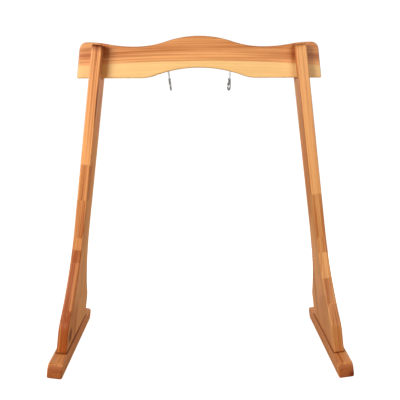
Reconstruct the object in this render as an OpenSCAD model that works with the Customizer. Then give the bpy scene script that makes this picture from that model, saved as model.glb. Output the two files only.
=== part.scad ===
// Wooden gong stand: a wave-shaped crossbeam laid in the forked heads of two
// leaning posts, each post standing square on a foot that runs front to back.
// Two screw hooks with spring gates hang under the crossbeam.
// Millimetres. X is the width, -Y the front, Z up; the origin is on the floor
// under the middle of the stand.

/* [Stand] */
// Lean of each post towards the middle, degrees
splay = 8.2; // [6:0.1:10]
// Distance from the middle of the stand to the middle of each foot
foot_spread = 563; // [540:1:590]

/* [Feet] */
// Width of a foot
foot_w = 60; // [52:1:70]
// Height of a foot
foot_h = 60; // [50:1:66]
// Length of a foot, front to back
foot_l = 560; // [480:1:640]
// Rounding of the upper front and rear edges of a foot
foot_nose_r = 22; // [8:1:30]
// Depth planed off the lower inner edge, so that the foot rests flat
foot_land = 1.5; // [1:0.1:3]

/* [Posts] */
// Thickness of a post, seen from the front
post_t = 40.5; // [34:0.5:46]
// Depth of a post above the flare, front to back
post_d = 124; // [112:1:136]
// Depth of a post where it meets the foot
post_base_d = 376; // [340:1:400]
// Length of a post's centre line, from the underside of the foot to the top
post_top = 1266; // [1240:1:1275]
// Where the flare starts, along the post from the underside of the foot
flare_top = 540; // [480:1:620]
// Where the flare ends in the upright base edge
flare_bottom = 149; // [120:1:170]
// Share of the large hollow curve in the flare, against the small round one
flare_share = 0.895; // [0.8:0.005:0.92]
// Rounding of the front and rear corners of the post head
head_r = 12; // [4:1:16]

/* [Crossbeam] */
// Thickness of the crossbeam, front to back
beam_t = 36; // [30:1:40]
// Height of the flat underside over the floor
beam_z = 1133; // [1120:1:1145]
// Half the length of the underside
beam_half = 475; // [455:1:500]
// Height of the beam in the middle, over the level of the flat underside
beam_crown = 157.5; // [145:0.5:170]
// Height of the two troughs beside the crown
beam_trough = 118; // [110:0.5:125]
// Distance of each trough from the middle
trough_x = 247; // [235:1:260]
// Height of the two peaks near the ends
beam_peak = 134.5; // [128:0.5:140]
// Distance of each peak from the middle
peak_x = 426; // [405:1:430]
// Rounding of the upper end corners
end_r = 30; // [10:1:32]
// Rise of the arch cut in the underside
arch_rise = 39.5; // [25:0.5:48]
// Half the width of that arch
arch_half = 228; // [200:1:260]

/* [Hooks] */
// Distance of each hook from the middle
hook_x = 120; // [90:1:150]
// Lean of the left hook, its lower end towards the middle, degrees
left_lean = 7.5; // [0:0.5:10]
// Lean of the right hook, its lower end towards the middle, degrees
right_lean = 3.5; // [0:0.5:10]
// Turn of the right hook about its shank, degrees
right_turn = 14; // [0:1:25]
// Thickness of the hook's wire
wire = 6; // [5.5:0.1:6.4]
// Distance from the beam to the lowest point of the hook
hook_drop = 74; // [70:1:90]
// Radius of the hook's bowl, on the centre line of the wire
bowl_r = 15; // [14:0.5:18]
// How deep the threaded end sits in the beam
thread_depth = 44; // [30:1:60]

/* [Fasteners] */
// Diameter of the bolts
bolt_d = 8; // [6:1:8]
// Length of the foot bolts under the head
foot_bolt_l = 80; // [75:1:90]
// Length of the beam bolts under the head
beam_bolt_l = 50; // [46:1:54]
// Distance of the foot bolts from the middle of the foot
foot_bolt_y = 110; // [90:1:130]
// Distance of the foot dowels from the middle of the foot
dowel_y = 55; // [40:1:65]
// Diameter of the dowels
dowel_d = 12; // [8:1:16]
// Length of the dowels
dowel_l = 60; // [40:1:64]

/* [Hidden] */
$fn = 64;

// Fits
slack = 0.1;          // added to the diameter of a hole that holds a piece
slot_slack = 0.2;     // added to the width of the slot that takes the beam
eps = 1;              // how far a cutter runs past the face it cuts
big = 2000;           // half the size of a cutter that clears everything

// Wood tones and metals
larch = [0.82, 0.55, 0.33];
larch_dark = [0.72, 0.45, 0.26];
beech = [0.85, 0.70, 0.50];
zinc = [0.66, 0.67, 0.68];
steel = [0.45, 0.46, 0.48];
brass = [0.78, 0.63, 0.30];

// Feet and posts share one leaning frame; its origin is under the foot
foot_lift = foot_w / 2 * sin(splay) - foot_land;

// Counterbored bolts
bore_d = bolt_d + 0.5;
head_d = bolt_d + 5;
head_h = bolt_d;
key_d = bolt_d * 0.87;
washer_d = 20;
washer_t = 2;
cbore_d = washer_d + 2;
foot_cbore = 13;
beam_cbore = 10.5;
insert_d = 14;
foot_insert_l = 25;
foot_insert_gap = 1;  // how far the foot inserts sit above the joint
beam_insert_l = 18;
beam_insert_gap = 1;  // how far the beam inserts sit below the surface

// Beam bolts sit in the rear cheek of each post head
slot_w = (beam_z - foot_lift) / cos(splay);
beam_bolt_w = [slot_w + 31, slot_w + 95];
slot_half = (beam_t + slot_slack) / 2;

// Arch under the beam: a small fillet, then one wide arc
arch_turn = 2 * atan(arch_rise / arch_half);
arch_total = arch_half / sin(arch_turn);
arch_fillet = 0.25;   // share of the fillet in the arch's curve
arch_r = (1 - arch_fillet) * arch_total;
hook_z = beam_z + arch_rise - (arch_r - sqrt(pow(arch_r, 2) - pow(hook_x, 2)));

// Hook: straight shank, one bend back, a short straight neck, the round bowl
bend_r = 8;
neck_l = 4;
knuckle_d = wire + 0.06;  // slight swelling where the neck meets the bends
bowl_z = -(hook_drop - bowl_r - wire / 2);
bend_z = bowl_z + sqrt(pow(bend_r + bowl_r, 2) + pow(neck_l, 2) - pow(bend_r, 2));
join_a = atan2(bend_z - bowl_z, bend_r) - atan2(neck_l, bend_r + bowl_r);
tip_a = 165;
tip = [bowl_r * cos(tip_a), bowl_z + bowl_r * sin(tip_a)];

// Gate: a folded channel on a rivet, its free end inside the hook's tip
gate_pivot = [0, bend_z + 3.5];
rivet_d = 2.5;
rivet_head_d = 4.6;
rivet_head_h = 0.8;
sheet = 0.8;          // thickness of the gate's sheet
gate_in = 3.4;        // from the hook's plane to the inside of a gate cheek
gate_out = gate_in + sheet;
gate_front = 3.5;     // from the gate's centre line to its front face
gate_back = 2.5;
gate_end_r = 4;
web_start = 9;
gate_gap = 0.1;       // between the closed gate and the tip
lug_r = 4.2;
lug_half = 1.8;       // half the thickness of the flattened shank
flat_h = 9;           // height of the flattened length
tip_vec = tip - gate_pivot;
tip_dist = norm(tip_vec);
gate_a = atan2(tip_vec.y, tip_vec.x) + 360
    + asin((gate_front + wire / 2 + gate_gap) / tip_dist);
gate_l = sqrt(pow(tip_dist, 2) - pow(gate_front + wire / 2 + gate_gap, 2)) + 0.3;

// Gate spring: a short coil on the rivet with two straight legs
spring_wire = 0.45;
spring_r = 1.8;
spring_x = 2.05;
spring_pitch = 0.48;
spring_steps = 24;    // points in one turn
spring_up = 4;        // length of the leg behind the shank
spring_down = 11;     // length of the leg inside the gate
spring_slant = 20;    // from the gate's length to that leg, degrees
spring_a = gate_a - spring_slant - 270 - 720;

// ---- Curves ----

// Points after p, up to q, on two arcs that meet smoothly and are level at both
// ends; share is the part of the summed radii that the first arc takes
function s_curve(p, q, share, steps) =
    let (
        d = q - p,
        turn = 2 * atan(abs(d.y / d.x)),
        total = abs(d.x) / sin(turn),
        way = [sign(d.x), sign(d.y)]
    ) concat(
        [for (i = [1 : steps])
            p + share * total * arc_step(turn * i / steps, way)],
        [for (i = [steps - 1 : -1 : 0])
            q - (1 - share) * total * arc_step(turn * i / steps, way)]
    );
function arc_step(a, way) = [way.x * sin(a), way.y * (1 - cos(a))];

function arc(centre, r, from, to, steps) =
    [for (i = [0 : steps]) let (a = from + (to - from) * i / steps)
        centre + r * [cos(a), sin(a)]];

function swapped(points) = [for (p = points) [p.y, p.x]];
// The same points in reverse order on the other side, without those on the middle
function mirrored(points) =
    [for (i = [len(points) - 1 : -1 : 0]) if (abs(points[i].x) > 0.001)
        [-points[i].x, points[i].y]];
function unit(v) = v / norm(v);

// ---- Placing ----

// The right foot and post, seen in their own upright frame
module leaning() {
    translate([foot_spread, 0, foot_lift]) rotate([0, -splay, 0]) children();
}

module left() {
    mirror([1, 0, 0]) children();
}

// A hook's own frame: origin where the shank enters the beam, shank down
module at_hook(lean, turn = 0) {
    translate([hook_x, 0, hook_z]) rotate([0, lean, 0]) rotate([0, 0, turn]) children();
}

// Extrudes an outline given in Y and Z to both sides of X = 0
module across(width) {
    rotate([90, 0, 90]) linear_extrude(width, center = true) children();
}

module at_foot_bolts() {
    for (y = [-foot_bolt_y, foot_bolt_y]) translate([0, y, 0]) children();
}

module at_dowels() {
    for (y = [-dowel_y, dowel_y]) translate([0, y, foot_h]) children();
}

// Beam bolts: +Z of the children points to the back of the stand
module at_beam_bolts() {
    for (w = beam_bolt_w) translate([0, 0, w]) rotate([-90, 0, 0]) children();
}

// ---- Wood ----

module foot_outline() {
    translate([-foot_l / 2, 0]) square([foot_l, foot_h - foot_nose_r]);
    translate([-foot_l / 2 + foot_nose_r, 0]) square([foot_l - 2 * foot_nose_r, foot_h]);
    for (side = [-1, 1])
        translate([side * (foot_l / 2 - foot_nose_r), foot_h - foot_nose_r])
            circle(foot_nose_r);
}

module foot_blank() {
    difference() {
        across(foot_w) foot_outline();
        at_foot_bolts() translate([0, 0, -eps]) {
            cylinder(d = bore_d, h = foot_h + 2 * eps);
            cylinder(d = cbore_d, h = foot_cbore + eps);
        }
        at_dowels() translate([0, 0, -dowel_l / 2 - eps])
            cylinder(d = dowel_d + slack, h = dowel_l);
    }
}

// The lower inner edge is planed level with the floor
module foot() {
    color(larch_dark) difference() {
        leaning() foot_blank();
        translate([-big, -big, -2 * big]) cube(2 * big);
    }
}

// One edge of the post, from the foot up to the rounded head
function post_edge() = concat(
    [[post_base_d / 2, foot_h], [post_base_d / 2, flare_bottom]],
    swapped(s_curve([flare_bottom, post_base_d / 2], [flare_top, post_d / 2],
        1 - flare_share, 12)),
    arc([post_d / 2 - head_r, post_top - head_r], head_r, 0, 90, 8)
);

module post() {
    edge = post_edge();
    color(larch) difference() {
        leaning() difference() {
            across(post_t) polygon(concat(edge, mirrored(edge)));
            at_foot_bolts() translate([0, 0, foot_h - eps]) {
                cylinder(d = insert_d + slack, h = foot_insert_gap + foot_insert_l + eps);
                cylinder(d = bore_d, h = foot_bolt_l - (foot_h - foot_cbore) + 2 * eps);
            }
            at_dowels() translate([0, 0, -eps])
                cylinder(d = dowel_d + slack, h = dowel_l / 2 + 2 * eps);
            at_beam_bolts() {
                cylinder(d = bore_d, h = post_d);
                translate([0, 0, post_d / 2 - beam_cbore])
                    cylinder(d = cbore_d, h = post_d);
            }
        }
        translate([0, -slot_half, beam_z]) cube([big, 2 * slot_half, big]);
    }
}

// Half of the beam's outline, from the crown round the end to the arch
function beam_edge() =
    let (
        corner = [beam_half - (beam_peak - end_r) * tan(splay) - end_r / cos(splay),
            beam_peak - end_r]
    ) concat(
        [[0, beam_crown]],
        s_curve([0, beam_crown], [trough_x, beam_trough], 0.51, 10),
        s_curve([trough_x, beam_trough], [peak_x, beam_peak], 0.58, 6),
        arc(corner, end_r, 90, splay, 8),
        [[beam_half, 0], [arch_half, 0]],
        s_curve([arch_half, 0], [0, arch_rise], arch_fillet, 10)
    );

module crossbeam() {
    edge = beam_edge();
    color(larch) difference() {
        translate([0, beam_t / 2, beam_z]) rotate([90, 0, 0])
            linear_extrude(beam_t) polygon(concat(edge, mirrored(edge)));
        pilot_hole(right_lean);
        left() pilot_hole(left_lean);
        for (side = [0, 1]) mirror([side, 0, 0]) leaning() at_beam_bolts()
            translate([0, 0, beam_t / 2 - beam_insert_l - 2 * beam_insert_gap])
                cylinder(d = insert_d + slack, h = beam_t);
    }
}

module pilot_hole(lean) {
    at_hook(lean) translate([0, 0, -wire * 2])
        cylinder(d = wire + slack, h = thread_depth + wire * 2 + eps);
}

// ---- Fasteners ----

// Socket head bolt: the underside of the head at Z = 0, the shank down
module bolt(length) {
    color(steel) {
        translate([0, 0, -length]) cylinder(d = bolt_d, h = length);
        difference() {
            cylinder(d = head_d, h = head_h);
            translate([0, 0, head_h / 2]) cylinder(d = key_d, h = head_h, $fn = 6);
        }
    }
}

module washer() {
    color(zinc) difference() {
        cylinder(d = washer_d, h = washer_t);
        translate([0, 0, -eps]) cylinder(d = bolt_d + 0.4, h = washer_t + 2 * eps);
    }
}

// Screw-in sleeve with a machine thread, standing on Z = 0
module insert(length) {
    color(brass) difference() {
        cylinder(d = insert_d, h = length);
        translate([0, 0, -eps]) cylinder(d = bolt_d + slack, h = length + 2 * eps);
    }
}

module foot_bolts() {
    leaning() at_foot_bolts() translate([0, 0, foot_cbore - washer_t])
        mirror([0, 0, 1]) bolt(foot_bolt_l);
}

module foot_washers() {
    leaning() at_foot_bolts() translate([0, 0, foot_cbore - washer_t]) washer();
}

module foot_inserts() {
    leaning() at_foot_bolts() translate([0, 0, foot_h + foot_insert_gap])
        insert(foot_insert_l);
}

module foot_dowels() {
    color(beech) leaning() at_dowels() translate([0, 0, -dowel_l / 2])
        cylinder(d = dowel_d, h = dowel_l);
}

module beam_bolts() {
    leaning() at_beam_bolts() translate([0, 0, post_d / 2 - beam_cbore + washer_t])
        bolt(beam_bolt_l);
}

module beam_washers() {
    leaning() at_beam_bolts() translate([0, 0, post_d / 2 - beam_cbore]) washer();
}

module beam_inserts() {
    leaning() at_beam_bolts() translate([0, 0, beam_t / 2 - beam_insert_gap - beam_insert_l])
        insert(beam_insert_l);
}

// ---- Hooks: everything here is in the hook's own frame, bent in the YZ plane ----

module bent_wire(centre, r, from, to) {
    translate([0, centre.x, centre.y]) rotate([90, 0, 90]) rotate([0, 0, from])
        rotate_extrude(angle = to - from) translate([r, 0]) circle(d = wire);
}

module at_pivot() {
    translate([0, gate_pivot.x, gate_pivot.y]) rotate([0, 90, 0]) children();
}

module bent_neck() {
    translate([0, bowl_r * cos(join_a), bowl_z + bowl_r * sin(join_a)])
        rotate([join_a, 0, 0]) {
            cylinder(d = wire, h = neck_l);
            for (z = [0, neck_l]) translate([0, 0, z]) sphere(d = knuckle_d);
        }
}

// The shank is flattened on both sides to make room for the gate spring
module shank_flats() {
    for (side = [0, 1]) mirror([side, 0, 0])
        translate([lug_half, -wire, gate_pivot.y - flat_h / 2])
            cube([wire, 2 * wire, flat_h]);
}

module hook_body() {
    color(zinc) difference() {
        union() {
            difference() {
                union() {
                    translate([0, 0, bend_z])
                        cylinder(d = wire, h = thread_depth - bend_z);
                    bent_wire([bend_r, bend_z], bend_r, 180, 180 + join_a);
                    bent_neck();
                    bent_wire([0, bowl_z], bowl_r, tip_a - 360, join_a);
                    translate([0, tip.x, tip.y]) sphere(d = wire);
                }
                shank_flats();
            }
            at_pivot() cylinder(r = lug_r, h = 2 * lug_half, center = true);
        }
        at_pivot() cylinder(d = rivet_d + slack, h = 4 * wire, center = true);
    }
}

// Gate frame: X along the gate from the rivet, Y towards the front
module along_gate() {
    translate([0, gate_pivot.x, gate_pivot.y]) rotate([90, 0, 90])
        rotate([0, 0, gate_a]) mirror([0, 1, 0]) children();
}

module gate_cheek() {
    linear_extrude(sheet) {
        circle(gate_end_r);
        polygon([[0, -gate_back], [gate_l, -gate_back + 1.5], [gate_l, gate_front],
            [0, gate_front]]);
    }
}

module hook_gate() {
    color(steel) along_gate() difference() {
        union() {
            translate([0, 0, gate_in]) gate_cheek();
            translate([0, 0, -gate_out]) gate_cheek();
            translate([web_start, gate_front - sheet, -gate_out])
                cube([gate_l - web_start, sheet, 2 * gate_out]);
        }
        cylinder(d = rivet_d + slack, h = 4 * wire, center = true);
    }
}

module gate_rivet() {
    half = gate_out + slack / 2;
    color(zinc) at_pivot() {
        cylinder(d = rivet_d, h = 2 * half, center = true);
        for (side = [0, 1]) mirror([0, 0, side]) translate([0, 0, half])
            cylinder(d = rivet_head_d, h = rivet_head_h);
    }
}

// A round wire along a path whose steps are nearly square to X
module thin_wire(path, d, sides = 8) {
    last = len(path) - 1;
    rings = [for (i = [0 : last])
        let (
            along = unit(path[min(i + 1, last)] - path[max(i - 1, 0)]),
            out = unit(cross(along, [1, 0, 0])),
            side = cross(along, out)
        )
        for (k = [0 : sides - 1])
            path[i] + d / 2 * (cos(360 * k / sides) * out + sin(360 * k / sides) * side)
    ];
    walls = [for (i = [0 : last - 1]) for (k = [0 : sides - 1])
        let (a = i * sides + k, b = i * sides + (k + 1) % sides)
        [a, a + sides, b + sides, b]
    ];
    caps = [
        [for (k = [0 : sides - 1]) k],
        [for (k = [sides - 1 : -1 : 0]) last * sides + k]
    ];
    polyhedron(rings, concat(walls, caps));
}

// The coil runs from an upper leg behind the shank to a lower leg in the gate
function spring_path() =
    let (
        count = ceil(-spring_a / 360 * spring_steps),
        coil = [for (i = [0 : count])
            let (a = spring_a * i / count)
            [spring_x - spring_pitch * a / 360,
                gate_pivot.x + spring_r * cos(a), gate_pivot.y + spring_r * sin(a)]],
        heading = [0, sin(spring_a), -cos(spring_a)]
    ) concat(
        [coil[0] + [0, 0, spring_up]],
        coil,
        [coil[count] + heading * spring_down]
    );

module gate_spring() {
    color(steel) thin_wire(spring_path(), spring_wire);
}

// ---- Nodes ----

crossbeam();
left() post();  // left_post
post();  // right_post
left() foot();  // left_foot
foot();  // right_foot
left() foot_bolts();  // left_foot_bolts
left() foot_washers();  // left_foot_washers
left() foot_inserts();  // left_foot_inserts
left() foot_dowels();  // left_foot_dowels
foot_bolts();  // right_foot_bolts
foot_washers();  // right_foot_washers
foot_inserts();  // right_foot_inserts
foot_dowels();  // right_foot_dowels
left() beam_bolts();  // left_beam_bolts
left() beam_washers();  // left_beam_washers
left() beam_inserts();  // left_beam_inserts
beam_bolts();  // right_beam_bolts
beam_washers();  // right_beam_washers
beam_inserts();  // right_beam_inserts
left() at_hook(left_lean) hook_body();  // left_hook
left() at_hook(left_lean) hook_gate();  // left_hook_gate
left() at_hook(left_lean) gate_rivet();  // left_gate_rivet
left() at_hook(left_lean) gate_spring();  // left_gate_spring
at_hook(right_lean, right_turn) hook_body();  // right_hook
at_hook(right_lean, right_turn) hook_gate();  // right_hook_gate
at_hook(right_lean, right_turn) gate_rivet();  // right_gate_rivet
at_hook(right_lean, right_turn) gate_spring();  // right_gate_spring
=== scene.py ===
"""A wooden gong stand: oiled larch crossbeam and posts, zinc-plated screw hooks.

Lengths are in metres, in the frame of the CAD model: X is the width, -Y the front,
Z up. Each wooden piece is built in its own grain frame (a, b, l): a across its
thickness, b across its width, l along the grain.
"""

import math

import bmesh
import bpy
from mathutils import Matrix, Vector


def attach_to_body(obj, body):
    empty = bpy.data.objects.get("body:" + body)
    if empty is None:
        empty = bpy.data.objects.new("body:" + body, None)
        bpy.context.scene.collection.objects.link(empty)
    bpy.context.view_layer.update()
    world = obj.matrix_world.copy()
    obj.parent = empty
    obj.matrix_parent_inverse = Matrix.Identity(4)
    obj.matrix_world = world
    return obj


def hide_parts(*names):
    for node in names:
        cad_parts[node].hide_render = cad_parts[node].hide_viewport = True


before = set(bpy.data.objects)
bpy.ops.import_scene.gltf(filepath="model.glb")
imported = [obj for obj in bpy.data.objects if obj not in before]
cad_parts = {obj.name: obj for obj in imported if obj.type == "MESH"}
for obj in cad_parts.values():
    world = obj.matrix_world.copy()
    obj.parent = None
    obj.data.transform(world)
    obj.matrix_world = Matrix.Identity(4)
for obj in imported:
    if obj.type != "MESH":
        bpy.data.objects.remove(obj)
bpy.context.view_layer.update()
MM = 0.001

# ---- Sizes, as in the CAD model ----

# Heights along a post and across a foot are taken along the leaning post. A name that ends
# in SHARE, or FILLET, is how much of a curve lies on one of its two arcs. The slot is the
# one in each post's head. BEAM_CBORE and FOOT_CBORE are how deep the bolts' counterbores
# are, and CBORE_R is their radius.

SPLAY = math.radians(8.2)
FOOT_SPREAD = 563 * MM
FOOT_W = 60 * MM
FOOT_H = 60 * MM
FOOT_L = 560 * MM
FOOT_NOSE_R = 22 * MM
FOOT_LAND = 1.5 * MM
FOOT_LIFT = FOOT_W / 2 * math.sin(SPLAY) - FOOT_LAND
POST_T = 40.5 * MM
POST_D = 124 * MM
POST_BASE_D = 376 * MM
POST_TOP = 1266 * MM
FLARE_TOP = 540 * MM
FLARE_BOTTOM = 149 * MM
FLARE_SHARE = 0.895
HEAD_R = 12 * MM
BEAM_T = 36 * MM
BEAM_Z = 1133 * MM
BEAM_HALF = 475 * MM
BEAM_CROWN = 157.5 * MM
CROWN_SHARE = 0.51
BEAM_TROUGH = 118 * MM
TROUGH_X = 247 * MM
TROUGH_SHARE = 0.58
BEAM_PEAK = 134.5 * MM
PEAK_X = 426 * MM
END_R = 30 * MM
ARCH_RISE = 39.5 * MM
ARCH_HALF = 228 * MM
ARCH_FILLET = 0.25
SLOT_HALF = 18.1 * MM
SLOT_W = (BEAM_Z - FOOT_LIFT) / math.cos(SPLAY)
BEAM_BOLTS = (SLOT_W + 31 * MM, SLOT_W + 95 * MM)
BEAM_CBORE = 10.5 * MM
FOOT_BOLTS = (-110 * MM, 110 * MM)
FOOT_CBORE = 13 * MM
CBORE_R = 11 * MM

# The hooks, measured down their shanks from the crossbeam
HOOK_X = 120 * MM
HOOK_TURN = {"left": (7.5, 0), "right": (3.5, 14)}  # lean and twist, degrees
WIRE_R = 3 * MM
BOWL_R = 15 * MM
BEND_R = 8 * MM
NECK = 4 * MM
BOWL_Z = -56 * MM
THREAD = 44 * MM
POINT = 5 * MM
POINT_END = 0.3 * MM
PILOT_R = 3.05 * MM
PILOT_MOUTH_R = 4.5 * MM
LUG_R = 4.2 * MM     # flattened knuckle that carries the rivet
LUG_HALF = 1.8 * MM
LUG_RISE = 3.5 * MM
LUG_FLAT = 2.6 * MM
LUG_BLEND = 1.8 * MM
TIP_A = 165          # where the bowl ends at the tip, degrees

# Rounding by sanding and wear, on wood and on metal
EDGE_R = 5.5 * MM
FOOT_EDGE_R = 8 * MM
GATE_EDGE_R = 0.2 * MM
RIVET_EDGE_R = 0.3 * MM
BOLT_EDGE_R = 0.5 * MM
WASHER_EDGE_R = 0.3 * MM

# ---- Curves ----


def arc_step(angle, way):
    """The step from the level start of an arc of radius 1 to its point at angle."""
    return Vector((way[0] * math.sin(angle), way[1] * (1 - math.cos(angle))))


def s_curve(p, q, share, steps):
    """Points after p, up to q, on two arcs that meet smoothly and are level at both ends."""
    p, q = Vector(p), Vector(q)
    d = q - p
    turn = 2 * math.atan(abs(d.y / d.x))
    total = abs(d.x) / math.sin(turn)
    way = (math.copysign(1, d.x), math.copysign(1, d.y))
    first = [p + share * total * arc_step(turn * i / steps, way) for i in range(1, steps + 1)]
    second = [q - (1 - share) * total * arc_step(turn * i / steps, way)
              for i in range(steps - 1, -1, -1)]
    return first + second


def arc(centre, r, start, end, steps):
    """Points on an arc, angles in degrees."""
    turns = [math.radians(start + (end - start) * i / steps) for i in range(steps + 1)]
    return [Vector((centre[0] + r * math.cos(t), centre[1] + r * math.sin(t))) for t in turns]


def mirrored(points):
    """The same points in reverse on the other side, without those on the middle."""
    return [Vector((-p[0], p[1])) for p in reversed(points) if abs(p[0]) > 1e-6]


def beam_outline():
    """Half of the beam's outline from the crown round the end to the arch, then the other."""
    side = math.degrees(SPLAY)
    rise = BEAM_PEAK - END_R
    corner = (BEAM_HALF - rise * math.tan(SPLAY) - END_R / math.cos(SPLAY), rise)
    edge = [Vector((0, BEAM_CROWN))]
    edge += s_curve((0, BEAM_CROWN), (TROUGH_X, BEAM_TROUGH), CROWN_SHARE, 16)
    edge += s_curve((TROUGH_X, BEAM_TROUGH), (PEAK_X, BEAM_PEAK), TROUGH_SHARE, 10)
    edge += arc(corner, END_R, 90, side, 10)
    edge += [Vector((BEAM_HALF, 0)), Vector((ARCH_HALF, 0))]
    edge += s_curve((ARCH_HALF, 0), (0, ARCH_RISE), ARCH_FILLET, 16)
    return edge + mirrored(edge)


def post_outline():
    """In (b, l), the whole outline, with the slot for the crossbeam at the top."""
    flare = s_curve((FLARE_BOTTOM, POST_BASE_D / 2), (FLARE_TOP, POST_D / 2), 1 - FLARE_SHARE, 20)
    edge = [Vector((POST_BASE_D / 2, FOOT_H)), Vector((POST_BASE_D / 2, FLARE_BOTTOM))]
    edge += [Vector((p.y, p.x)) for p in flare]
    edge += arc((POST_D / 2 - HEAD_R, POST_TOP - HEAD_R), HEAD_R, 0, 90, 8)
    edge += [Vector((SLOT_HALF, POST_TOP)), Vector((SLOT_HALF, SLOT_W))]
    return edge + mirrored(edge)


def foot_outline():
    """In (b, l): b is the height, l runs from the rear to the front."""
    end = FOOT_L / 2 - FOOT_NOSE_R
    top = FOOT_H - FOOT_NOSE_R
    front = arc((top, end), FOOT_NOSE_R, 0, 90, 10)
    rear = arc((top, -end), FOOT_NOSE_R, -90, 0, 10)
    return [Vector((0, -FOOT_L / 2))] + rear + front + [Vector((0, FOOT_L / 2))]


# ---- Meshes ----


def prism(outline, thickness):
    """A slab with its outline in the (b, l) plane and its thickness along a."""
    bm = bmesh.new()
    low = [bm.verts.new((-thickness / 2, p[0], p[1])) for p in outline]
    high = [bm.verts.new((thickness / 2, p[0], p[1])) for p in outline]
    count = len(outline)
    bm.faces.new(low)
    bm.faces.new(list(reversed(high)))
    for i in range(count):
        k = (i + 1) % count
        bm.faces.new((low[i], high[i], high[k], low[k]))
    bmesh.ops.recalc_face_normals(bm, faces=bm.faces)
    return bm


def round_edges(bm, radius, segments=4, limit=35):
    """Rounds every outward edge that turns by more than limit degrees."""
    sharp = [e for e in bm.edges
             if e.is_manifold and e.calc_face_angle_signed() > math.radians(limit)]
    bmesh.ops.bevel(bm, geom=sharp, offset=radius, offset_type="OFFSET", segments=segments,
                    profile=0.5, affect="EDGES", clamp_overlap=True)


def lathe(profile, segments=48):
    """A closed solid turned round Z from (radius, height) pairs; it starts and ends at 0."""
    bm = bmesh.new()
    rings = []
    for r, z in profile:
        if r == 0:
            rings.append([bm.verts.new((0, 0, z))])
        else:
            turns = [2 * math.pi * i / segments for i in range(segments)]
            rings.append([bm.verts.new((r * math.cos(t), r * math.sin(t), z)) for t in turns])
    for lower, upper in zip(rings, rings[1:]):
        for i in range(segments):
            k = (i + 1) % segments
            corners = [lower[i % len(lower)], lower[k % len(lower)],
                       upper[k % len(upper)], upper[i % len(upper)]]
            bm.faces.new(list(dict.fromkeys(corners)))
    bmesh.ops.recalc_face_normals(bm, faces=bm.faces)
    return bm


def new_object(name, bm, place=Matrix.Identity(4)):
    """Makes an object of a bmesh, its vertices placed by a matrix."""
    bm.transform(place)
    if place.determinant() < 0:
        bmesh.ops.reverse_faces(bm, faces=bm.faces)
    mesh = bpy.data.meshes.new(name)
    bm.to_mesh(mesh)
    bm.free()
    obj = bpy.data.objects.new(name, mesh)
    bpy.context.scene.collection.objects.link(obj)
    return obj


def apply_modifiers(obj):
    """Replaces the mesh by what its modifiers make of it."""
    bpy.context.view_layer.update()
    graph = bpy.context.evaluated_depsgraph_get()
    mesh = bpy.data.meshes.new_from_object(obj.evaluated_get(graph), depsgraph=graph)
    obj.modifiers.clear()
    old, obj.data = obj.data, mesh
    bpy.data.meshes.remove(old)
    mesh.name = obj.name


def drill(obj, cutters):
    """Cuts each cutter out of obj and removes the cutters."""
    for cutter in cutters:
        cut = obj.modifiers.new("cut", "BOOLEAN")
        cut.operation = "DIFFERENCE"
        cut.solver = "EXACT"
        cut.object = cutter
    apply_modifiers(obj)
    for cutter in cutters:
        bpy.data.objects.remove(cutter)


def smooth(obj, limit=32):
    """Smooth shading with flat faces kept flat."""
    mesh = obj.data
    mesh.polygons.foreach_set("use_smooth", [True] * len(mesh.polygons))
    mesh.set_sharp_from_angle(angle=math.radians(limit))
    weigh = obj.modifiers.new("weighted", "WEIGHTED_NORMAL")
    weigh.keep_sharp = True
    weigh.weight = 100
    apply_modifiers(obj)


def set_grain(obj, place):
    """Stores each point's place in the piece's own grain frame for the wood material."""
    back = place.inverted()
    store = obj.data.attributes.new("grain", "FLOAT_VECTOR", "POINT")
    for i, vertex in enumerate(obj.data.vertices):
        store.data[i].vector = back @ vertex.co


# ---- Places ----

MIRROR = Matrix.Scale(-1, 4, (1, 0, 0))
LEANING = Matrix.Translation((FOOT_SPREAD, 0, FOOT_LIFT)) @ Matrix.Rotation(-SPLAY, 4, "Y")
BEAM_FRAME = Matrix(((0, 0, 1, 0), (1, 0, 0, 0), (0, 1, 0, BEAM_Z), (0, 0, 0, 1)))
FOOT_AXES = Matrix(((1, 0, 0, 0), (0, 0, -1, 0), (0, 1, 0, 0), (0, 0, 0, 1)))


def sided(side, place):
    """A place made for the right, as it is or mirrored to the left."""
    return place if side == "right" else MIRROR @ place


def hook_frame(side):
    """Origin where the shank enters the beam, Z up the shank."""
    turn = 2 * math.atan(ARCH_RISE / ARCH_HALF)
    arch_r = (1 - ARCH_FILLET) * ARCH_HALF / math.sin(turn)
    z = BEAM_Z + ARCH_RISE - (arch_r - math.sqrt(arch_r ** 2 - HOOK_X ** 2))
    lean, twist = HOOK_TURN[side]
    place = (Matrix.Translation((HOOK_X, 0, z)) @ Matrix.Rotation(math.radians(lean), 4, "Y")
             @ Matrix.Rotation(math.radians(twist), 4, "Z"))
    return sided(side, place)


# ---- Node graphs ----


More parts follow.
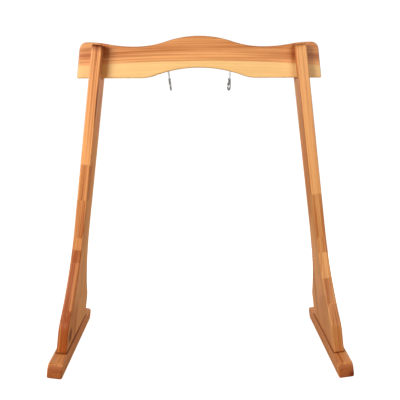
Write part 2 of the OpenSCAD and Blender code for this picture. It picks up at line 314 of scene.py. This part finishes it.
class Graph:
    """Short names for the shader nodes that the materials use."""

    def __init__(self, name):
        self.material = bpy.data.materials.new(name)
        self.material.use_nodes = True
        self.tree = self.material.node_tree
        self.tree.nodes.clear()

    def add(self, kind, inputs=(), **settings):
        node = self.tree.nodes.new("ShaderNode" + kind)
        for key, value in settings.items():
            setattr(node, key, value)
        pairs = inputs.items() if isinstance(inputs, dict) else enumerate(inputs)
        for key, value in pairs:
            if isinstance(value, bpy.types.NodeSocket):
                self.tree.links.new(value, node.inputs[key])
            elif value is not None:
                node.inputs[key].default_value = value
        return node

    def math(self, operation, *values):
        return self.add("Math", values, operation=operation).outputs[0]

    def xyz(self, x, y, z):
        return self.add("CombineXYZ", (x, y, z)).outputs[0]

    def split(self, vector):
        return self.add("SeparateXYZ", (vector,)).outputs

    def vector(self, operation, *values):
        node = self.add("VectorMath", values, operation=operation)
        return node.outputs["Value" if operation in ("DOT_PRODUCT", "LENGTH") else "Vector"]

    def noise(self, vector, scale, detail=2.0, rough=0.5):
        inputs = {"Vector": vector, "Scale": scale, "Detail": detail, "Roughness": rough}
        return self.add("TexNoise", inputs).outputs[0]

    def white(self, vector):
        node = self.add("TexWhiteNoise", (vector,), noise_dimensions="3D")
        return node.outputs["Value"], node.outputs["Color"]

    def ramp(self, value, stops, interpolation="LINEAR"):
        node = self.add("ValToRGB", (value,))
        band = node.color_ramp
        band.interpolation = interpolation
        while len(band.elements) < len(stops):
            band.elements.new(0.5)
        for element, (place, colour) in zip(band.elements, stops):
            element.position = place
            element.color = (*colour, 1) if isinstance(colour, tuple) else (colour,) * 3 + (1,)
        return node.outputs[0]

    def profile(self, value, stops, interpolation="LINEAR", high=None):
        """A ramp whose stops are placed in the units of value."""
        low = stops[0][0]
        high = stops[-1][0] if high is None else high
        share = self.remap(value, low, high, 0, 1, "LINEAR")
        return self.ramp(share, [((at - low) / (high - low), out) for at, out in stops],
                         interpolation)

    def stretched(self, place, scales, shift):
        """A place with each of its parts scaled, then moved by shift."""
        parts = [self.math("MULTIPLY", part, scale) for part, scale in zip(place, scales)]
        return self.vector("ADD", self.xyz(*parts), shift)

    def remap(self, value, low, high, to_low=0.0, to_high=1.0, kind="SMOOTHSTEP"):
        node = self.add("MapRange", (value, low, high, to_low, to_high))
        node.interpolation_type = kind
        return node.outputs[0]

    def mix(self, factor, a, b, blend="MIX"):
        node = self.add("Mix", data_type="RGBA", blend_type=blend)
        for index, value in ((0, factor), (6, a), (7, b)):
            if isinstance(value, bpy.types.NodeSocket):
                self.tree.links.new(value, node.inputs[index])
            elif isinstance(value, tuple):
                node.inputs[index].default_value = (*value, 1)
            else:
                node.inputs[index].default_value = value
        return node.outputs[2]

    def multiply(self, colour, tint):
        return self.mix(1.0, colour, tint, "MULTIPLY")

    def stain_and_shade(self, factor, colour, tint):
        """A colour multiplied by a tint as far as factor says."""
        return self.mix(factor, colour, self.multiply(colour, tint))

    def finish(self, **inputs):
        shader = self.add("BsdfPrincipled", {k.replace("_", " "): v for k, v in inputs.items()})
        output = self.add("OutputMaterial")
        self.tree.links.new(shader.outputs[0], output.inputs[0])
        return self.material


def srgb(r, g, b):
    """Linear values of an 8-bit screen colour."""
    return tuple(((c / 255 + 0.055) / 1.055) ** 2.4 if c > 10 else c / 3294.6 for c in (r, g, b))


# ---- Wood ----

EARLY = srgb(240, 170, 104)
LATE = srgb(168, 82, 24)
SAP_EARLY = srgb(246, 199, 130)
SAP_LATE = srgb(226, 164, 92)

# What multiplies the colour on end grain; the painted shade on the cheeks where they meet the
# crossbeam and the painted contact shadow on the feet round the posts, with their widths
END_GRAIN = (0.62, 0.44, 0.30)
SLOT_PAINTED_SHADE = (0.62, 0.42, 0.28)
SEAM_PAINTED_SHADOW = (0.50, 0.37, 0.24)
SLOT_PAINTED_SHADE_W = 0.022
SEAM_PAINTED_SHADOW_W = 0.010

# How dark the wood is through one year, and in the palest year
YEAR = [(0.0, 0.0), (0.35, 0.1), (0.7, 0.5), (0.9, 1.0), (0.97, 0.85), (1.0, 0.0)]
PALE_YEAR = 0.5

DRIFT = 0.012        # how far the borders between colours wander
END_CALM = 0.35      # strength of the pattern on end grain
FLARE_CALM = 0.5     # and on the sides of the flares

# The glued staves of the posts
STAVE_W = 0.042
STAVE_EDGE = -POST_D / 2 - MM
STAVE_L = 0.36
STAVE_SLIDE = 0.4
FINGER_W = 0.0035
FINGER_SLOPE = 2.6
FRONT_L = 1.3        # the length that the pieces at the front are given over
FRONT_PIECE = 50     # first number of those pieces, away from the others' numbers
CUT_STRETCH = -0.85  # how far the grain is drawn out on the cut front of a flare
STAVE_TINTS = (1.0, 0.91, 0.94), (0.97, 1.0, 0.88)


def glued_staves(g, place, normal, drift, calm, seed, front, hearts, lines, tone):
    """The finger-jointed staves of a post.

    hearts is how far a length of stave goes from pale to dark, lowest and highest. front
    gives (l, heart) stretches of the staves at the front, lines (a, heart) stripes across
    them and tone their hue. Returns b as the grain sees it, and for each length of stave
    its heart, tint, shift of the noise, pith and strength of pattern."""
    a, b, l = place
    past_edge = g.math("SUBTRACT", b, STAVE_EDGE)
    toward = g.vector("DOT_PRODUCT", normal, (0, -1, 0))
    cut = g.math("MULTIPLY", g.math("GREATER_THAN", toward, 0.6),
                 g.math("LESS_THAN", b, STAVE_EDGE))
    uncut = g.math("SUBTRACT", 1, cut)
    index = g.math("MULTIPLY", g.math("FLOOR", g.math("DIVIDE", past_edge, STAVE_W)), uncut)

    # Lengths of stave, random but for the front, with finger joints between them
    finger = g.math("MULTIPLY", g.math("PINGPONG", b, FINGER_W), FINGER_SLOPE)
    jointed = g.math("ADD", l, finger)
    slide = g.white(g.xyz(index, seed, 0.5))[0]
    reach = g.math("ADD", jointed, g.math("MULTIPLY", slide, STAVE_SLIDE))
    length = g.math("FLOOR", g.math("DIVIDE", reach, STAVE_L))
    numbers = [(at, k / 10) for k, (at, heart) in enumerate(front)]
    piece = g.profile(jointed, numbers, "CONSTANT", FRONT_L)
    piece = g.math("ROUND", g.math("MULTIPLY_ADD", piece, 10, FRONT_PIECE))
    first = g.math("LESS_THAN", g.math("ABSOLUTE", index), 0.5)
    length = g.math("MULTIPLY_ADD", first, g.math("SUBTRACT", piece, length), length)

    value, random = g.white(g.xyz(index, length, seed))
    turn = g.split(random)
    pith_a = g.remap(turn[0], 0, 1, -0.05, 0.05, "LINEAR")
    middle = g.math("MULTIPLY_ADD", index, STAVE_W, STAVE_W / 2 + STAVE_EDGE)
    pith_b = g.math("ADD", middle, g.remap(turn[1], 0, 1, -0.035, 0.035, "LINEAR"))
    shift = g.vector("MULTIPLY", random, (7.0, 9.0, 5.0))

    ahead = g.remap(toward, 0.35, 0.8)
    heart = g.mix(ahead, g.remap(value, 0, 1, hearts[0], hearts[1], "LINEAR"),
                  g.profile(l, front, "CONSTANT", FRONT_L))
    tint = g.mix(ahead, g.mix(turn[2], *STAVE_TINTS), tone)
    if lines:
        across = g.math("MULTIPLY_ADD", g.math("SUBTRACT", drift, 0.5), DRIFT, a)
        stripe = g.profile(across, [(at, shade + 0.5) for at, shade in lines])
        height = g.math("MULTIPLY", ahead, g.remap(l, 0.72, 1.1, 0.1, 1))
        heart = g.math("ADD", heart,
                       g.math("MULTIPLY", g.math("SUBTRACT", stripe, 0.5), height))

    flare = g.remap(g.math("ABSOLUTE", b), -STAVE_EDGE, 0.012 - STAVE_EDGE)
    still = g.remap(g.math("MULTIPLY", flare, uncut), 0, 1, 1, FLARE_CALM)
    b = g.math("MULTIPLY_ADD", g.math("MULTIPLY", cut, CUT_STRETCH), past_edge, b)
    return b, heart, tint, shift, (pith_a, pith_b), g.math("MULTIPLY", calm, still)


def year_rings(g, a, b, pith, drift, seed, ring, wobble):
    """The distance from the pith, and how dark each point is for its place in the year."""
    off_a = g.math("SUBTRACT", a, pith[0])
    off_b = g.math("SUBTRACT", b, pith[1])
    radius = g.vector("LENGTH", g.xyz(off_a, off_b, 0))
    radius = g.math("MULTIPLY_ADD", drift, wobble * MM, radius)
    breadth = g.noise(g.xyz(radius, seed * 3.1, 0), 90, 1.0)
    years = g.math("MULTIPLY_ADD", breadth, 1.6, g.math("DIVIDE", radius, ring * MM))
    which = g.white(g.xyz(g.math("FLOOR", years), seed, 4.0))[0]
    late = g.ramp(g.math("FRACT", years), YEAR)
    return radius, g.math("MULTIPLY", late, g.remap(which, 0, 1, PALE_YEAR, 1.0, "LINEAR"))


def paint_joint_shade(g, colour, a, b, l, corner, seam):
    """Paints shade on the wood in an inner corner, and a contact shadow round a piece that is
    glued on top.
    """
    # Painted shade on the cheeks' inner faces next to the slot, above its floor
    if corner:
        near = g.remap(g.math("SUBTRACT", g.math("ABSOLUTE", b), corner[0]),
                       0, SLOT_PAINTED_SHADE_W, 1, 0)
        above = g.remap(l, corner[1] - 0.004, corner[1] + 0.002)
        colour = g.stain_and_shade(g.math("MULTIPLY", near, above), colour, SLOT_PAINTED_SHADE)
    # Painted contact shadow on the top of the foot, round the post's footprint
    if seam:
        out_a = g.math("MAXIMUM", g.math("SUBTRACT", g.math("ABSOLUTE", a), seam[0]), 0)
        out_l = g.math("MAXIMUM", g.math("SUBTRACT", g.math("ABSOLUTE", l), seam[1]), 0)
        away = g.vector("LENGTH", g.xyz(out_a, out_l, 0))
        colour = g.stain_and_shade(g.remap(away, 0.001, SEAM_PAINTED_SHADOW_W, 1, 0), colour, SEAM_PAINTED_SHADOW)
    return colour


def wood(name, axis, seed, pith=(0.05, 0.0), ring=3.2, rings=0.52, wobble=6.0, figure=0.5,
         heart=0.0, bands=None, staves=None, sap=None, crook=0.0, along=None, corner=None,
         seam=None, spots=()):
    """Solid wood whose grain runs along axis in the world.

    The tree: pith is where its middle lies in (a, b), ring the width of a year in mm,
    rings the depth of its dark line, wobble how far the years wander in mm, crook the
    bend of the trunk and sap the (b, depth) of a sapwood border.
    The colour: heart goes from pale to dark, bands gives it as (b, heart) pairs across
    the width, figure is the strength of the streaks, and staves holds the settings of
    glued_staves for glued wood.
    The shading: along gives (l, colour) pairs that shade the length, corner the (b, l) of an
    inner corner that gets painted shade, seam the half sizes (a, l) of a piece glued on top,
    round which a contact shadow is painted, and spots the stained places and painted shadows as
    (centre, radii, colour)."""
    g = Graph(name)
    place = g.add("Attribute", attribute_name="grain").outputs["Vector"]
    a, b, l = g.split(place)
    normal = g.add("NewGeometry").outputs["Normal"]
    end = g.remap(g.math("ABSOLUTE", g.vector("DOT_PRODUCT", normal, axis)), 0.45, 0.9)
    if crook:
        b = g.math("MULTIPLY_ADD", g.math("MULTIPLY", l, l), crook, b)
    shift = (seed * 1.37, seed * 0.71, seed * 2.13)
    drift = g.noise(g.stretched((a, b, l), (9, 9, 1.6), shift), 1.0, 2.0)
    calm = g.remap(end, 0, 1, 1, END_CALM)
    stripes, hairs = 150, 500
    if staves:
        stripes, hairs = 60, 150
        b, heart, tint, shift, pith, calm = glued_staves(
            g, (a, b, l), normal, drift, calm, seed, **staves)
    if bands:
        heart = g.profile(g.math("MULTIPLY_ADD", drift, DRIFT, b), bands)

    # Depth of colour from the years, streaks and broad patches
    radius, late = year_rings(g, a, b, pith, drift, seed, ring, wobble)
    fibre = g.noise(g.stretched((a, b, l), (900, hairs, 12), shift), 1.0, 3.0, 0.6)
    streak = g.noise(g.stretched((a, b, l), (130, stripes, 1.6), shift), 1.0, 2.0, 0.5)
    broad = g.xyz(g.math("MULTIPLY", radius, 60), g.math("MULTIPLY", l, 2.4), seed)
    broad = g.noise(g.vector("ADD", broad, shift), 1.0, 1.0)
    depth = g.math("MULTIPLY_ADD", g.remap(streak, 0.3, 0.7, -0.5, 0.5), figure,
                   g.math("MULTIPLY", late, rings))
    depth = g.math("MULTIPLY_ADD", g.math("SUBTRACT", broad, 0.5), 0.8, depth)
    mean = rings * 0.3
    depth = g.math("MULTIPLY", g.math("SUBTRACT", depth, mean), calm)
    depth = g.math("ADD", depth, g.math("ADD", heart, mean - 0.12))

    colour = g.mix(depth, EARLY, LATE)
    if sap:
        border = g.math("MULTIPLY_ADD", drift, DRIFT, b)
        pale = g.mix(g.math("MULTIPLY", depth, 0.5), SAP_EARLY, SAP_LATE)
        colour = g.mix(g.remap(border, sap[0] + sap[1], sap[0]), colour, pale)
    if staves:
        colour = g.multiply(colour, tint)
    fine = g.remap(fibre, 0.2, 0.8, 0.90, 1.06, "LINEAR")
    colour = g.multiply(colour, g.xyz(fine, fine, fine))
    if along:
        colour = g.multiply(colour, g.profile(l, along))
    # Painted shade in the slot's corners, and painted contact shadow round a post on its foot
    colour = paint_joint_shade(g, colour, a, b, l, corner, seam)
    # Stained places, and on the crossbeam painted shadows beside the post heads
    for centre, radii, stain_and_shade in spots:
        away = g.vector("LENGTH", g.vector("DIVIDE", g.vector("SUBTRACT", place, centre), radii))
        near = g.remap(g.math("MULTIPLY_ADD", streak, 0.5, away), 0.5, 1.25, 1, 0)
        colour = g.stain_and_shade(near, colour, stain_and_shade)
    colour = g.stain_and_shade(end, colour, END_GRAIN)

    height = g.math("MULTIPLY_ADD", fibre, 0.55, g.math("MULTIPLY", late, 0.35))
    bump = g.add("Bump", {"Strength": 0.35, "Distance": 0.0004, "Height": height}).outputs[0]
    rough = g.remap(streak, 0.2, 0.8, 0.5, 0.36, "LINEAR")
    rough = g.math("MULTIPLY_ADD", end, 0.15, rough)
    return g.finish(Base_Color=colour, Roughness=rough, Normal=bump, Coat_Weight=0.04,
                    Coat_Roughness=0.35, Specular_IOR_Level=0.32)


def metal(name, colour, rough, scratch=0.12, spangle=0.0, metallic=1.0):
    """Plated or bare metal with fine drawing marks and a mottled finish."""
    g = Graph(name)
    place = g.add("TexCoord").outputs["Object"]
    grains = g.noise(place, 420, 3.0, 0.6)
    drawn = g.noise(g.vector("MULTIPLY", place, (2400, 2400, 160)), 1.0, 2.0)
    shade = g.remap(grains, 0.3, 0.7, 1 - scratch, 1.0, "LINEAR")
    tint = g.multiply(colour, g.xyz(shade, shade, shade))
    if spangle:
        patch = g.noise(place, 160, 2.0)
        tint = g.mix(g.remap(patch, 0.45, 0.75, 0, spangle), tint, (0.82, 0.80, 0.70))
    gloss = g.remap(drawn, 0.2, 0.8, rough - 0.06, rough + 0.08, "LINEAR")
    bump = g.add("Bump", {"Strength": 0.15, "Distance": 0.00005, "Height": drawn}).outputs[0]
    return g.finish(Base_Color=tint, Metallic=metallic, Roughness=gloss, Normal=bump)


# ---- Pieces ----


def attach(piece, node, body, material):
    """Gives a piece its material and its body, and hides the CAD node that it replaces."""
    piece.data.materials.clear()
    piece.data.materials.append(material)
    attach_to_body(piece, body)
    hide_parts(node)


# ---- Wooden pieces ----

leaning_axis = LEANING.to_3x3() @ Vector((0, 0, 1))
AXIS = {"right": tuple(leaning_axis), "left": (-leaning_axis.x, leaning_axis.y, leaning_axis.z)}

# Hearts of the staves at the front of each post, (l, heart) upwards
FRONT = {
    "left": [(0.0, 1.0), (0.226, 0.80), (0.403, 0.88), (0.452, 0.55), (0.662, 0.50),
             (0.805, 0.08)],
    "right": [(0.0, 0.50), (0.244, 0.62), (0.340, 0.26), (0.440, 0.46), (0.683, 0.12)],
}

# Stripes across the front of the left post, (a, heart) outwards
LINES = [(-0.0203, 0.25), (-0.018, 0.0), (-0.012, -0.1), (-0.009, 0.40), (-0.006, 0.0),
         (-0.002, 0.5), (0.002, 0.5), (0.005, 0.1), (0.010, 0.05), (0.013, -0.2),
         (0.0203, -0.2)]

# Bands of the crossbeam above its sapwood, (b, heart) upwards
BANDS = [(0.070, 0.30), (0.085, 0.22), (0.095, 0.30), (0.103, 0.56), (0.122, 0.58),
         (0.135, 0.46), (0.160, 0.42)]

# Spots as (centre, radii, colour): the knot in the left flare with the darker wood round it, the
# streak up the left post's inner edge, the stained patch on the right foot's front end, and
# painted shadows on the crossbeam beside the post heads
KNOT = [((-0.02, -0.105, 0.15), (0.02, 0.075, 0.10), (0.88, 0.76, 0.68)),
        ((-0.02, -0.138, 0.118), (0.02, 0.042, 0.040), (0.36, 0.21, 0.15))]
STREAK = ((-0.0185, -0.062, 1.05), (0.0055, 0.014, 0.12), (0.52, 0.38, 0.28))
STAIN = ((0.031, 0.006, 0.28), (0.036, 0.034, 0.06), (0.5, 0.16, 0.12))
# Painted shadows of the post heads on the crossbeam
PAINTED_HEAD_SHADOWS = [((-0.018, 0.115, -0.365), (0.012, 0.05, 0.032), (0.80, 0.52, 0.38)),
           ((-0.018, 0.030, -0.368), (0.012, 0.06, 0.030), (1.0, 0.80, 0.62)),
           ((-0.018, 0.100, 0.364), (0.012, 0.07, 0.014), (0.72, 0.55, 0.42))]

POST_LOOK = {
    "left": {"seed": 11.0, "figure": 0.5, "spots": KNOT + [STREAK],
             "staves": {"hearts": (-0.05, 0.5), "lines": LINES, "tone": (1.0, 0.95, 0.88),
                        "front": FRONT["left"]}},
    "right": {"seed": 23.0, "figure": 0.4, "spots": [],
              "staves": {"hearts": (-0.05, 0.45), "lines": None, "tone": (0.99, 1.03, 1.02),
                         "front": FRONT["right"]}},
}

# Colours that the posts' heads shade to, at the rim and on top
HEAD_SHADE = {"left": ((0.66, 0.52, 0.44), (0.30, 0.16, 0.10)),
              "right": ((0.95, 0.93, 0.90), (0.8, 0.72, 0.65))}

FOOT_LOOK = {"left": {"seed": 31.0, "heart": 0.5, "spots": []},
             "right": {"seed": 47.0, "heart": 0.48, "spots": [STAIN]}}


def cutter(profile, place):
    """A tool turned from a profile, for drill."""
    return new_object("cutter", lathe(profile), place)


def counterbore(depth):
    """Cutter for a bolt's hole with a 1 mm chamfer; floor at Z = 0, mouth at depth."""
    return [(0, 0), (CBORE_R, 0), (CBORE_R, depth - MM), (CBORE_R + 3 * MM, depth + 2 * MM),
            (0, depth + 2 * MM)]


def pilot_hole():
    """Cutter for a hook's hole with a countersunk mouth; the mouth is at Z = 0."""
    return [(0, -5 * MM), (PILOT_MOUTH_R, -5 * MM), (PILOT_R, 0.6 * MM), (PILOT_R, THREAD + MM),
            (0, THREAD + MM)]


def build_beam():
    bm = prism([Vector((p.y, p.x)) for p in beam_outline()], BEAM_T)
    round_edges(bm, EDGE_R, 5, 20)
    beam = new_object("crossbeam_wood", bm, BEAM_FRAME)
    drill(beam, [cutter(pilot_hole(), hook_frame(side)) for side in ("left", "right")])
    smooth(beam)
    set_grain(beam, BEAM_FRAME)
    # Its spots are the painted shadows beside the post heads
    material = wood("larch_beam", (1, 0, 0), 3.0, pith=(0.05, 0.21), ring=4.2, rings=0.30,
                    sap=(0.067, 0.007), wobble=9, crook=0.080, bands=BANDS, spots=PAINTED_HEAD_SHADOWS)
    attach(beam, "crossbeam", "stand", material)


def build_post(side):
    bm = prism(post_outline(), POST_T)
    # The slot's floor is level, as the crossbeam is
    for vert in bm.verts:
        if abs(vert.co.y) < SLOT_HALF + 1e-6 and abs(vert.co.z - SLOT_W) < 1e-6:
            vert.co.z = (BEAM_Z - FOOT_LIFT - vert.co.x * math.sin(SPLAY)) / math.cos(SPLAY)
    round_edges(bm, EDGE_R, 5, 20)
    place = sided(side, LEANING)
    post = new_object(side + "_post_wood", bm, place)
    to_rear = Matrix.Rotation(math.radians(-90), 4, "X")
    floor_y = POST_D / 2 - BEAM_CBORE
    drill(post, [cutter(counterbore(BEAM_CBORE),
                        place @ Matrix.Translation((0, floor_y, w)) @ to_rear)
                 for w in BEAM_BOLTS])
    smooth(post)
    set_grain(post, place)
    rim, top = HEAD_SHADE[side]
    along = [(0.7, (0.94, 0.94, 0.94)), (1.0, (1, 1, 1)), (1.238, (1, 1, 1)), (1.252, rim),
             (1.262, top), (1.27, top)]
    # The corner gets painted shade where the cheeks meet the crossbeam
    material = wood("larch_" + side + "_post", AXIS[side], ring=3.4, along=along,
                    corner=(SLOT_HALF, SLOT_W), **POST_LOOK[side])
    attach(post, side + "_post", "stand", material)


def build_foot(side):
    bm = prism(foot_outline(), FOOT_W)
    round_edges(bm, FOOT_EDGE_R, 5, 20)
    place = sided(side, LEANING @ FOOT_AXES)
    foot = new_object(side + "_foot_wood", bm, place)
    # The land that the foot rests on is planed level
    trim = bmesh.new()
    trim.from_mesh(foot.data)
    cut = bmesh.ops.bisect_plane(trim, geom=trim.verts[:] + trim.edges[:] + trim.faces[:],
                                 plane_co=(0, 0, 0), plane_no=(0, 0, -1), clear_outer=True)
    rim = [e for e in cut["geom_cut"] if isinstance(e, bmesh.types.BMEdge)]
    bmesh.ops.edgeloop_fill(trim, edges=rim)
    trim.to_mesh(foot.data)
    trim.free()
    down = Matrix.Rotation(math.radians(180), 4, "X")
    drill(foot, [cutter(counterbore(FOOT_CBORE),
                        sided(side, LEANING) @ Matrix.Translation((0, y, FOOT_CBORE)) @ down)
                 for y in FOOT_BOLTS])
    smooth(foot)
    set_grain(foot, place)
    # The seam gets a painted contact shadow round the post on the foot's top
    material = wood("larch_" + side + "_foot", (0, 1, 0), pith=(0.012, -0.03), ring=3.6,
                    wobble=8, seam=(POST_T / 2, POST_BASE_D / 2), **FOOT_LOOK[side])
    attach(foot, side + "_foot", "stand", material)


# ---- Hooks ----


def sweep(path, sides=24):
    """A rod along points (y, z, half width in X, half thickness) in the YZ plane."""
    bm = bmesh.new()
    rings = []
    last = len(path) - 1
    for i, (y, z, wide, thick) in enumerate(path):
        before, after = path[max(i - 1, 0)], path[min(i + 1, last)]
        heading = Vector((0, after[0] - before[0], after[1] - before[1])).normalized()
        out = heading.cross(Vector((1, 0, 0)))
        ring = []
        for k in range(sides):
            turn = 2 * math.pi * k / sides
            point = Vector((0, y, z)) + out * thick * math.cos(turn)
            ring.append(bm.verts.new(point + Vector((wide * math.sin(turn), 0, 0))))
        rings.append(ring)
    for lower, upper in zip(rings, rings[1:]):
        for k in range(sides):
            n = (k + 1) % sides
            bm.faces.new((lower[k], lower[n], upper[n], upper[k]))
    bm.faces.new(rings[0])
    bm.faces.new(list(reversed(rings[-1])))
    bmesh.ops.recalc_face_normals(bm, faces=bm.faces)
    return bm


def hook_path():
    """Centre line and section of the hook, from the point of the screw to the tip."""
    rise = math.sqrt((BEND_R + BOWL_R) ** 2 + NECK ** 2 - BEND_R ** 2)
    bend_z = BOWL_Z + rise
    join = math.degrees(math.atan2(rise, BEND_R) - math.atan2(NECK, BEND_R + BOWL_R))
    lug_z = bend_z + LUG_RISE
    path = []
    steps = 60
    for i in range(steps + 1):
        z = THREAD + (bend_z - THREAD) * i / steps
        near = max(0.0, 1 - max(0.0, abs(z - lug_z) - LUG_FLAT) / LUG_BLEND)
        near = near * near * (3 - 2 * near)
        wide = WIRE_R + (LUG_HALF - WIRE_R) * near
        thick = WIRE_R + (LUG_R - WIRE_R) * near
        point = min(1.0, (THREAD - z + POINT_END) / POINT)
        path.append((0.0, z, wide * point, thick * point))
    for p in arc((BEND_R, bend_z), BEND_R, 180, 180 + join, 14)[1:]:
        path.append((p.x, p.y, WIRE_R, WIRE_R))
    for p in arc((0, BOWL_Z), BOWL_R, join, TIP_A - 360, 56):
        path.append((p.x, p.y, WIRE_R, WIRE_R))
    end = Vector(path[-1][:2])
    heading = (end - Vector(path[-2][:2])).normalized()
    for i in range(1, 9):
        turn = math.radians(90 * i / 8.2)
        p = end + heading * WIRE_R * math.sin(turn)
        path.append((p.x, p.y, WIRE_R * math.cos(turn), WIRE_R * math.cos(turn)))
    return path


def build_hook(side, material):
    hook = new_object(side + "_hook_wire", sweep(hook_path()), hook_frame(side))
    smooth(hook, 50)
    attach(hook, side + "_hook", "stand", material)


def refined(node, radius, body, material, segments=2):
    """A copy of a CAD piece with its sharp edges rounded."""
    bm = bmesh.new()
    bm.from_mesh(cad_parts[node].data)
    bmesh.ops.remove_doubles(bm, verts=bm.verts, dist=1e-6)
    bmesh.ops.dissolve_limit(bm, angle_limit=math.radians(0.5), verts=bm.verts, edges=bm.edges)
    round_edges(bm, radius, segments, 40)
    piece = new_object(node + "_fine", bm)
    smooth(piece, 40)
    attach(piece, node, body, material)


def dress(node, material):
    """Gives a CAD piece its material."""
    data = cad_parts[node].data
    data.materials.clear()
    data.materials.append(material)


build_beam()
for side in ("left", "right"):
    build_post(side)
    build_foot(side)

zinc = metal("bright_zinc", (0.40, 0.41, 0.42), 0.40, 0.18, 0.3, 0.9)
spring_steel = metal("spring_steel", (0.40, 0.41, 0.43), 0.30)
black_oxide = metal("black_oxide", (0.055, 0.056, 0.060), 0.38, 0.3)
washer_steel = metal("washer_steel", (0.52, 0.53, 0.54), 0.34)
brass = metal("turned_brass", (0.72, 0.52, 0.22), 0.30)
beech = wood("beech_dowel", AXIS["right"], 61.0, ring=1.6, wobble=2)
for side in ("left", "right"):
    build_hook(side, zinc)
    refined(side + "_hook_gate", GATE_EDGE_R, side + "_gate", zinc)
    refined(side + "_gate_rivet", RIVET_EDGE_R, "stand", zinc, 3)
    dress(side + "_gate_spring", spring_steel)
    for place in ("foot", "beam"):
        joint = side + "_" + place
        refined(joint + "_bolts", BOLT_EDGE_R, "stand", black_oxide)
        refined(joint + "_washers", WASHER_EDGE_R, "stand", washer_steel)
        dress(joint + "_inserts", brass)
    dress(side + "_foot_dowels", beech)

# ---- Studio ----

# The world's light by direction: dim and warm towards the camera, white behind the stand
DIM_Y, DIM_LIGHT = -0.6, 0.03
BRIGHT_Y, BRIGHT_LIGHT = 0.8, 0.62
WARM = (1.0, 0.62, 0.36, 1)
WHITE = (1, 1, 1, 1)
BACKDROP = 1.05
FLOOR_SIZE = 9.0
FLOOR_GLOW = 0.97
LENS = 48
SENSOR = 36
CAMERA_PLACE = (-0.0075, -2.1394, 1.1013)
CAMERA_DOWN = 12.04  # degrees, as are the next two
CAMERA_ROLL = 0.2
CAMERA_TURN = -0.283


def soft_light(name, place, target, size, watts, glossy=True):
    """A rectangular light at place, aimed at target; without glossy, it leaves no shine."""
    data = bpy.data.lights.new(name, "AREA")
    data.shape = "RECTANGLE"
    data.size, data.size_y = size
    data.energy = watts
    light = bpy.data.objects.new(name, data)
    light.location = place
    aim = Vector(target) - Vector(place)
    light.rotation_euler = aim.to_track_quat("-Z", "Y").to_euler()
    light.visible_camera = False
    light.visible_glossy = glossy
    bpy.context.scene.collection.objects.link(light)


def build_floor():
    """A pale floor that the camera sees as white as the backdrop."""
    bm = bmesh.new()
    bmesh.ops.create_grid(bm, x_segments=12, y_segments=12, size=FLOOR_SIZE)
    floor = new_object("studio_floor", bm)
    g = Graph("pale_floor")
    place = g.add("TexCoord").outputs["Object"]
    colour = g.mix(g.noise(place, 3.0, 3.0), (0.38, 0.34, 0.29), (0.42, 0.38, 0.33))
    glow = g.math("MULTIPLY", g.add("LightPath").outputs["Is Camera Ray"], FLOOR_GLOW)
    floor.data.materials.append(g.finish(Base_Color=colour, Roughness=0.9,
                                         Emission_Color=WHITE, Emission_Strength=glow))


def build_world():
    """White for the camera; for the stand, light from behind that fades to the front."""
    world = bpy.data.worlds.new("studio")
    world.use_nodes = True
    bpy.context.scene.world = world
    tree = world.node_tree
    tree.nodes.clear()
    coord = tree.nodes.new("ShaderNodeTexCoord")
    split = tree.nodes.new("ShaderNodeSeparateXYZ")
    tree.links.new(coord.outputs["Generated"], split.inputs[0])
    tilt = tree.nodes.new("ShaderNodeMapRange")
    tilt.interpolation_type = "SMOOTHSTEP"
    tree.links.new(split.outputs[1], tilt.inputs[0])
    for index, value in enumerate((DIM_Y, BRIGHT_Y, DIM_LIGHT, BRIGHT_LIGHT), 1):
        tilt.inputs[index].default_value = value
    ambient = tree.nodes.new("ShaderNodeBackground")
    tree.links.new(tilt.outputs[0], ambient.inputs["Strength"])
    warm = tree.nodes.new("ShaderNodeValToRGB")
    for stop, place, colour in zip(warm.color_ramp.elements, (0.3, 0.6), (WARM, WHITE)):
        stop.position = place
        stop.color = colour
    tree.links.new(tilt.outputs[0], warm.inputs[0])
    tree.links.new(warm.outputs[0], ambient.inputs["Color"])
    white = tree.nodes.new("ShaderNodeBackground")
    white.inputs["Color"].default_value = WHITE
    white.inputs["Strength"].default_value = BACKDROP
    seen = tree.nodes.new("ShaderNodeLightPath")
    blend = tree.nodes.new("ShaderNodeMixShader")
    tree.links.new(seen.outputs["Is Camera Ray"], blend.inputs[0])
    tree.links.new(ambient.outputs[0], blend.inputs[1])
    tree.links.new(white.outputs[0], blend.inputs[2])
    output = tree.nodes.new("ShaderNodeOutputWorld")
    tree.links.new(blend.outputs[0], output.inputs[0])


build_floor()
build_world()
soft_light("key_left", (-2.6, -2.9, 1.8), (0, 0, 0.95), (2.0, 1.6), 152)
soft_light("rear_right", (0.9, 1.2, 0.35), (-0.5, 0, 0.1), (0.8, 0.6), 11, glossy=False)
soft_light("front_right", (1.3, -1.8, 1.3), (0.4, 0, 0.8), (0.8, 1.0), 16)

camera_data = bpy.data.cameras.new("camera")
camera_data.lens = LENS
camera_data.sensor_width = SENSOR
camera_data.clip_start = 0.02
camera_data.clip_end = 60
camera = bpy.data.objects.new("camera", camera_data)
camera.location = CAMERA_PLACE
camera.rotation_euler = (math.radians(90 - CAMERA_DOWN), math.radians(CAMERA_ROLL),
                         math.radians(CAMERA_TURN))
bpy.context.scene.collection.objects.link(camera)
bpy.context.scene.camera = camera
bpy.context.scene.view_settings.view_transform = "Standard"
bpy.context.scene.view_settings.look = "None"
